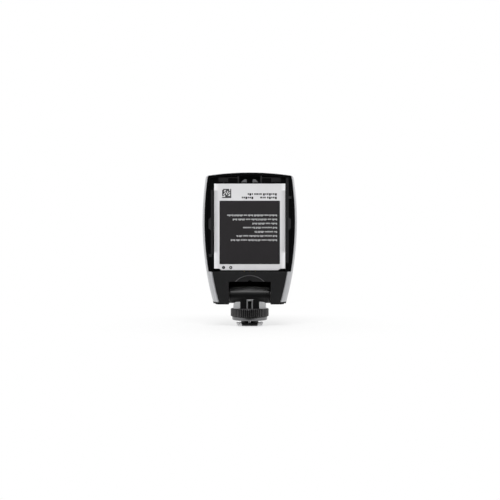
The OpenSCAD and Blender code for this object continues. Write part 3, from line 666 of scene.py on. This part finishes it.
class TRIGGER_OT_battery(bpy.types.Operator):
    """Rounds the battery, lays its charcoal panel and the generic marks, and finishes its contacts"""

    bl_idname = "trigger.battery"
    bl_label = "Battery"

    def execute(self, context):
        sizes = context.scene.trigger_sizes
        soften("battery_pack", "battery_foil", sizes.battery_edge, 4, 50 * DEGREE)
        dress("gold_plate", "battery_pads", "battery_contacts")
        dress("contact_plastic", "terminal_block")
        low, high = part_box("battery_pack")
        panel = block(
            "battery_panel",
            Vector((low.x + sizes.panel_side, low.y - FILM, low.z + sizes.panel_below)),
            Vector((high.x - sizes.panel_side, low.y + FILM, high.z - sizes.panel_above)))
        round_corners(panel, sizes.panel_corner, 4)
        bevelled(panel, FILM / 3, 1)
        self.lay(panel, "battery_panel")
        self.print_on_panel(sizes, low, high)
        self.print_on_foil(sizes, low, high)
        return {"FINISHED"}

    def lay(self, piece, look):
        """Fixes a finished piece on the battery."""
        settle(piece, "battery", look)

    def print_on_panel(self, sizes, low, high):
        """Seven rows of pale blocks, set to the right, in the panel's upper half."""
        starts = (7.6, 12.5, 25.1, 19.4, 27.9, 15.5, 11.1)
        lowest, step, margin = 21.4, 2.86, 5.8   # top of the last row, row to row, and room at the right
        last = len(starts) - 1
        rows = [(low.z + (lowest + step * (last - number)) * MM, low.x + start * MM, high.x - margin * MM)
                for number, start in enumerate(starts)]
        self.strokes("panel_print", "pale_print", rows, sizes.print_height, low.y - FILM)

    def print_on_foil(self, sizes, low, high):
        """Two rows of dark blocks, a square of dots and two rings on the bare foil."""
        right = high.x - 6 * MM
        upper, lower = high.z - 6.6 * MM, high.z - 9 * MM
        rows = [(upper, low.x + 23.3 * MM, right), (lower, right - 13.2 * MM, right),
                (lower, low.x + 17.6 * MM, low.x + 27.1 * MM)]
        self.strokes("foil_print", "dark_print", rows, 1.3 * sizes.print_height, low.y, 1.4)
        count, step, dot = 9, 0.7 * MM, 0.66 * MM
        corner = Vector((low.x + 5.6 * MM, low.y, high.z - 9.9 * MM))
        dots = [(corner + Vector((column + 0.5, 0, row + 0.5)) * step, Vector((dot, 2 * FILM, dot)))
                for column in range(count) for row in range(count) if self.filled(column, row, count - 1)]
        self.lay(plates("foil_dots", dots, 0.08 * MM), "dark_print")
        radius, height = 1.05 * MM, low.z + 1.9 * MM
        for number, (across, band) in enumerate(((6.6, 0.9), (11.6, 0.7))):
            mark = ring(f"foil_ring_{number + 1}", (low.x + across * MM, low.y + FILM, height),
                        (90 * DEGREE, 0, 0), radius, band * MM, (0, -2 * FILM, 0))
            self.lay(mark, "dark_print")

    def filled(self, column, row, last):
        """Whether a dot is there: along two full sides, and in a scatter that stands for a code."""
        scatter = (3 * column * column + 5 * row * row + 7 * column * row + 2) % 9
        return column == last or row == 0 or scatter < 6

    def strokes(self, name, look, rows, height, face, bold=1.0):
        """Small upright blocks in groups that stand for words; each row has its top and its two ends."""
        groups = (7, 4, 9, 5, 3, 8, 6, 4)
        widths = [part * bold * height for part in (0.52, 0.42, 0.34)]
        low_share = 0.72   # height of the low marks, as a share of the tall ones'
        gap, word_gap, least_room = 0.18 * bold * height, 0.35 * height, 1.2 * MM
        places = []
        for number, (top, left, right) in enumerate(rows):
            count = 3 * number
            while right - left > least_room:
                for mark in range(groups[count % len(groups)]):
                    wide = widths[(mark + count) % 3]
                    tall = height * (1 if (mark * mark + count) % 3 == 0 else low_share)
                    if right - left > wide:
                        places.append((Vector((right - wide / 2, face, top - tall / 2)),
                                       Vector((wide, 2 * FILM, tall))))
                        right -= wide + gap
                right -= word_gap
                count += 1
        self.lay(plates(name, places, 0.12 * MM), look)


# ---------------------------------------------------------------- hinge, lock wheel and foot
class TRIGGER_OT_hinge(bpy.types.Operator):
    """Softens the barrel with its neck and threaded post, and finishes the hinge's other pieces"""

    bl_idname = "trigger.hinge"
    bl_label = "Hinge"

    def execute(self, context):
        sizes = context.scene.trigger_sizes
        soften("hinge_barrel", "barrel_plastic", 1.2 * sizes.moulded_edge, after=self.thread)
        soften("barrel_cap", "barrel_plastic", sizes.moulded_edge)
        soften("neck_bracket", "bracket_paint", 2 * sizes.metal_edge, 3)
        dress("shaft_steel", "hinge_shaft", "shaft_clips")
        dress("wheel_metal", "friction_washers")
        dress("brass", "hinge_bushes")
        return {"FINISHED"}

    def thread(self, barrel):
        """Winds a ridge round the post and cuts the thread's groove with it."""
        sizes = bpy.context.scene.trigger_sizes
        low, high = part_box("foot_plate")[1].z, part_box("lock_wheel")[1].z
        alone()
        bpy.ops.mesh.primitive_circle_add(
            vertices=4, radius=1, rotation=(90 * DEGREE, 0, 0),
            location=(sizes.post_radius, 0, low + sizes.thread_pitch))
        ridge = bpy.context.object
        half_groove = sizes.thread_pitch * 0.4
        ridge.scale = (sizes.thread_depth, half_groove, 1)
        bpy.ops.object.transform_apply(location=True, rotation=True, scale=True)
        turns, steps = int((high - low) / sizes.thread_pitch) - 1, 48
        modify(ridge, "SCREW", axis="Z", screw_offset=sizes.thread_pitch, iterations=turns, steps=steps,
               render_steps=steps)
        edit(ridge, "EDGE")
        bpy.ops.mesh.select_non_manifold()
        bpy.ops.mesh.fill()
        close_up(ridge)
        modify(barrel, "BOOLEAN", object=ridge, operation="DIFFERENCE", solver="EXACT")
        bpy.data.objects.remove(ridge)


class TRIGGER_OT_lock(bpy.types.Operator):
    """Softens the ribbed lock wheel, its clamp washer and the lock pin's yoke"""

    bl_idname = "trigger.lock"
    bl_label = "Lock wheel"

    def execute(self, context):
        edge = context.scene.trigger_sizes.metal_edge
        soften("lock_wheel", "wheel_metal", 0.7 * edge)
        soften("clamp_washer", "washer_metal", edge)
        soften("lock_pin_yoke", "drawn_steel", 2 * edge, 3)
        return {"FINISHED"}


class TRIGGER_OT_foot(bpy.types.Operator):
    """Softens the foot plate and its contact block, and finishes the contacts and screws"""

    bl_idname = "trigger.foot"
    bl_label = "Foot"

    def execute(self, context):
        sizes = context.scene.trigger_sizes
        soften("foot_plate", "bright_metal", 1.3 * sizes.metal_edge)
        soften("contact_block", "block_highlight", 0.6 * sizes.moulded_edge)
        soften("shoe_contact_pins", "gold_plate", sizes.metal_edge)
        soften("foot_screws", "turned_steel", 0.6 * sizes.metal_edge)
        return {"FINISHED"}


# ---------------------------------------------------------------- display side
class TRIGGER_OT_display(bpy.types.Operator):
    """Finishes the display window, the liquid-crystal cell and the indicator lamp"""

    bl_idname = "trigger.display"
    bl_label = "Display"

    def execute(self, context):
        soften("display_lens", "display_glass", 0.2 * MM, 3)
        dress("cell_glass", "lcd_module")
        soften("status_light", "lamp_green", 0.15 * MM)
        return {"FINISHED"}


class TRIGGER_OT_controls(bpy.types.Operator):
    """Rounds the select dial, the set button, the four push buttons and the power switch"""

    bl_idname = "trigger.controls"
    bl_label = "Dial, buttons and switch"

    def execute(self, context):
        sizes = context.scene.trigger_sizes
        soften("select_dial", "black_plastic", 0.8 * sizes.moulded_edge)
        wide_dish = dished(margin=1 * MM, slope=3.4 * MM, depth=0.4 * MM)
        soften("set_button", "gloss_black", sizes.key_edge, 4, before=wide_dish)
        dish = dished(margin=0.7 * MM, slope=1.8 * MM, depth=0.25 * MM)
        for key in ("menu_button", "mode_button", "light_button"):
            soften(key, "key_rubber", sizes.key_edge, 4, before=dish)
        soften("test_button", "red_key", sizes.key_edge, 4, before=dish)
        soften("power_switch", "black_plastic", 0.5 * sizes.moulded_edge)
        return {"FINISHED"}


class TRIGGER_OT_ports(bpy.types.Operator):
    """Finishes the sync jack and the USB port"""

    bl_idname = "trigger.ports"
    bl_label = "Ports"

    def execute(self, context):
        soften("sync_jack", "contact_plastic", 0.15 * MM)
        low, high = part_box("sync_jack")
        middle = (low + high) / 2
        mouth, radius, wall, reach = low.x + 0.7 * MM, 1.79 * MM, 0.3 * MM, 2.5 * MM
        sleeve = ring("jack_sleeve", (mouth, middle.y, middle.z), (0, 90 * DEGREE, 0),
                      radius, wall, (reach, 0, 0))
        bevelled(sleeve, 0.08 * MM, angle=60 * DEGREE)
        settle(sleeve, BODY_OF["sync_jack"], "drawn_steel")
        soften("usb_port", "drawn_steel", 0.08 * MM)
        return {"FINISHED"}


class TRIGGER_OT_electronics(bpy.types.Operator):
    """Finishes what lies inside the head"""

    bl_idname = "trigger.electronics"
    bl_label = "Inside"

    def execute(self, context):
        dress("solder_mask", "main_board", "key_board")
        dress("drawn_steel", "radio_can")
        dress("ceramic", "antenna")
        dress("contact_plastic", "buzzer", "dial_encoder", "switch_body")
        dress("key_rubber", "key_domes")
        return {"FINISHED"}


# ---------------------------------------------------------------- stage
class TRIGGER_OT_stage(bpy.types.Operator):
    """Lays the floor, and sets the lights, the room and the camera"""

    bl_idname = "trigger.stage"
    bl_label = "Floor, lights and camera"

    def execute(self, context):
        stage = context.scene.trigger_stage
        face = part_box("battery_pack")[0].y
        alone()
        bpy.ops.object.camera_add(
            location=(stage.camera_aside, face - stage.camera_distance, stage.camera_height),
            rotation=(90 * DEGREE, 0, 0))
        camera = bpy.context.object
        camera.data.lens = camera.data.sensor_width * stage.camera_distance / stage.view_width
        context.scene.camera = camera
        self.floor(stage)
        self.lamps(stage)
        self.room(stage)
        return {"FINISHED"}

    def floor(self, stage):
        """Lays a white floor, shaded only near the foot, that metal mirrors as dark in front of it."""
        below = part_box("shoe_contact_pins")[0].z - 0.01 * MM
        alone()
        bpy.ops.mesh.primitive_plane_add(size=8, location=(0, 0, below))
        floor = bpy.context.object
        floor.name = "floor"
        look = Finish("trigger_floor_white")
        matt = look.node("ShaderNodeBsdfDiffuse", {}, {"Color": (0.95, 0.95, 0.95, 1)})
        plain = look.node("ShaderNodeEmission", {}, {"Color": (1, 1, 1, 1), "Strength": 1.0})
        dark = look.node("ShaderNodeEmission", {}, {"Color": (1, 1, 1, 1), "Strength": stage.front_dark})
        camera, glossy, through = look.rays()
        far = look.off_axis().spread(0.03, 0.12, stage.floor_white, 1)
        white = look.blend(camera.most(glossy).most(through) * far, matt, plain)
        ahead = (look.along("Y") + abs(look.along("X")) * 0.4).spread(-0.03, -0.018, 1, 0)
        look.close(look.blend(glossy * ahead, white, dark))
        floor.data.materials.append(look.material)

    def lamps(self, stage):
        """Sets five soft lights that all aim at the trigger."""
        aim = Vector((0, 0, 0.06))
        for name, place, size, watts in (
                ("front_light", (-0.45, -0.7, 0.9), (0.7, 0.7), stage.front_light),
                ("left_light", (-0.95, -0.1, 0.3), (0.6, 0.6), 1.25 * stage.side_light),
                ("right_light", (0.95, -0.1, 0.3), (0.6, 0.6), 0.55 * stage.side_light),
                ("back_light", (0.2, 0.95, 0.5), (0.7, 0.7), stage.side_light),
                ("strip_light", (0, -0.7, 0.92), (0.8, 0.2), stage.strip_light)):
            alone()
            turn = (aim - Vector(place)).to_track_quat("-Z", "Y").to_euler()
            bpy.ops.object.light_add(type="AREA", location=place, rotation=turn)
            lamp = bpy.context.object
            lamp.name = name
            lamp.data.shape = "RECTANGLE"
            lamp.data.size, lamp.data.size_y = size
            lamp.data.energy = watts

    def room(self, stage):
        """Sets a room that is white to the camera and through glass, and else darker in front."""
        world = bpy.data.worlds.new("room")
        bpy.context.scene.world = world
        room = Nodes(world)
        camera, glossy, through = room.rays()
        direction = room.node("ShaderNodeTexCoord", out="Generated")
        around = room.part(direction, "Y").spread(-0.6, 0.3, stage.front_dark, 1)
        strength = camera.most(through).most(around * glossy.spread(0, 1, stage.room_light, 1))
        light = room.node("ShaderNodeBackground", {}, {"Color": (1, 1, 1, 1), "Strength": strength})
        room.node("ShaderNodeOutputWorld", {}, {"Surface": light})


# ---------------------------------------------------------------- panel and run
OPERATORS = (
    TRIGGER_OT_shell, TRIGGER_OT_battery, TRIGGER_OT_hinge, TRIGGER_OT_lock, TRIGGER_OT_foot,
    TRIGGER_OT_display, TRIGGER_OT_controls, TRIGGER_OT_ports, TRIGGER_OT_electronics, TRIGGER_OT_stage)
GROUPS = {"trigger_sizes": TriggerSizes, "trigger_colours": TriggerColours, "trigger_stage": TriggerStage}


class TRIGGER_PT_panel(bpy.types.Panel):
    """Lists the trigger's settings and its steps"""

    bl_label = "Wireless flash trigger"
    bl_idname = "TRIGGER_PT_panel"
    bl_space_type = "VIEW_3D"
    bl_region_type = "UI"
    bl_category = "Trigger"

    def draw(self, context):
        for operator in OPERATORS:
            self.layout.operator(operator.bl_idname)
        for group in GROUPS:
            settings = getattr(context.scene, group)
            box = self.layout.box()
            for key in type(settings).__annotations__:
                box.prop(settings, key)


def register():
    """Adds the settings, the steps and the panel to Blender."""
    for item in (*GROUPS.values(), *OPERATORS, TRIGGER_PT_panel):
        bpy.utils.register_class(item)
    for name, group in GROUPS.items():
        setattr(bpy.types.Scene, name, bpy.props.PointerProperty(type=group))


def unregister():
    """Takes away what register has added."""
    for name in GROUPS:
        delattr(bpy.types.Scene, name)
    for item in (TRIGGER_PT_panel, *reversed(OPERATORS), *reversed(GROUPS.values())):
        bpy.utils.unregister_class(item)


def main():
    """Builds the whole scene."""
    register()
    for operator in OPERATORS:
        getattr(bpy.ops.trigger, operator.bl_idname.split(".")[1])()
    bpy.context.scene.view_settings.view_transform = "Standard"
    bpy.context.view_layer.update()


if __name__ == "__main__":
    main()
